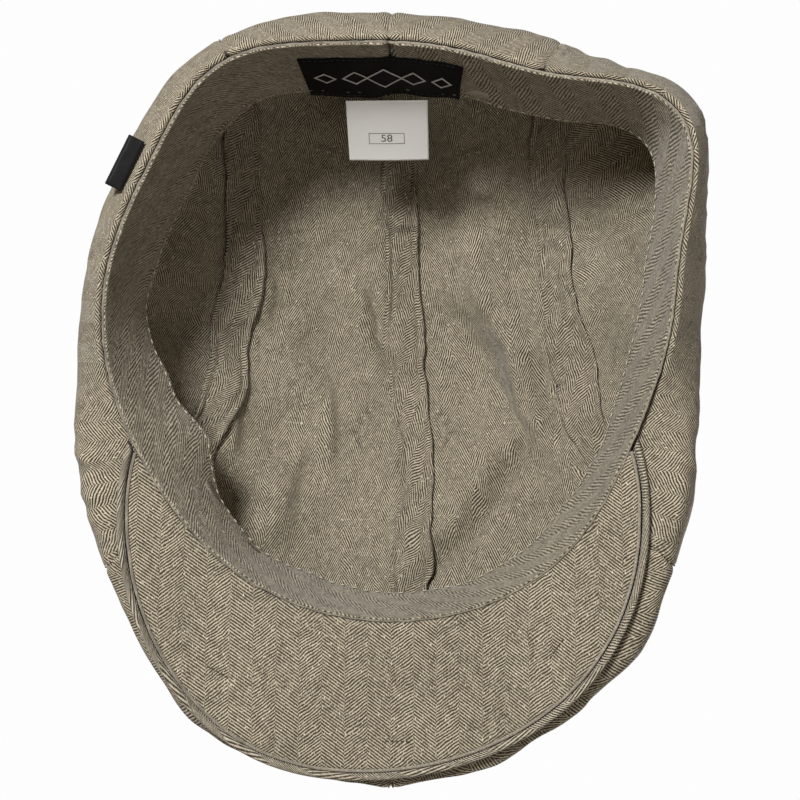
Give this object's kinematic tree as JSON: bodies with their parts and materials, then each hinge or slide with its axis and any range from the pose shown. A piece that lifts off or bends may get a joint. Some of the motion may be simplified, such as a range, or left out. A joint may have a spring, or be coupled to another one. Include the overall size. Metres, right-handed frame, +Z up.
{
  "type": "flat cap",
  "caption": "Flat cap with a panelled cloth crown sewn down over a short stiffened visor, a sweatband at the head opening and a small hinged size label.",
  "frame": {"origin": "centre of the head opening, in the plane of the rim at the back and sides", "axes": "+Z up through the crown, -Y forward to the visor, +X to the wearer's left"},
  "size_m": [0.2035, 0.2465, 0.0948],
  "materials": {
    "crown_cloth": "herringbone wool tweed in taupe and dark brown, brushed, matt",
    "visor_cloth": "the crown's herringbone tweed, pulled smooth over the visor board",
    "seam_tape": "bias tape of fine herringbone cotton, taupe, stitched along both edges",
    "sweatband_cloth": "bias-cut herringbone cotton twill, taupe, matt",
    "interlining": "plain stiffened cotton, off-white",
    "woven_ribbon": "black damask-woven ribbon, slight sheen",
    "visor_board": "pressed polyethylene board, off-white",
    "tack_thread": "taupe polyester sewing thread, satin-stitched",
    "satin_ribbon": "white polyester satin ribbon, soft sheen",
    "tab_ribbon": "black woven ribbon with a soft sheen, folded"
  },
  "bodies": {
    "cap": {"crown_top_left": "crown_cloth", "crown_side_left": "crown_cloth", "crown_top_right": "crown_cloth", "crown_side_right": "crown_cloth", "centre_seam_tape": "seam_tape", "side_seam_tape_left": "seam_tape", "side_seam_tape_right": "seam_tape", "sweatband": "sweatband_cloth", "sweatband_interlining": "interlining", "woven_label": "woven_ribbon", "visor_under_cover": "visor_cloth", "visor_board": "visor_board", "visor_top_cover": "visor_cloth", "visor_tacks": "tack_thread", "side_tab": "tab_ribbon"},
    "label": {"size_label": "satin_ribbon"}
  },
  "joints": [
    {"name": "size_label_flip", "type": "hinge", "parent": "cap", "child": "label", "pos_m": [0.00238, 0.07867, 0.03164], "axis": [1, 0, 0], "range_deg": [-92, 135]}
  ]
}
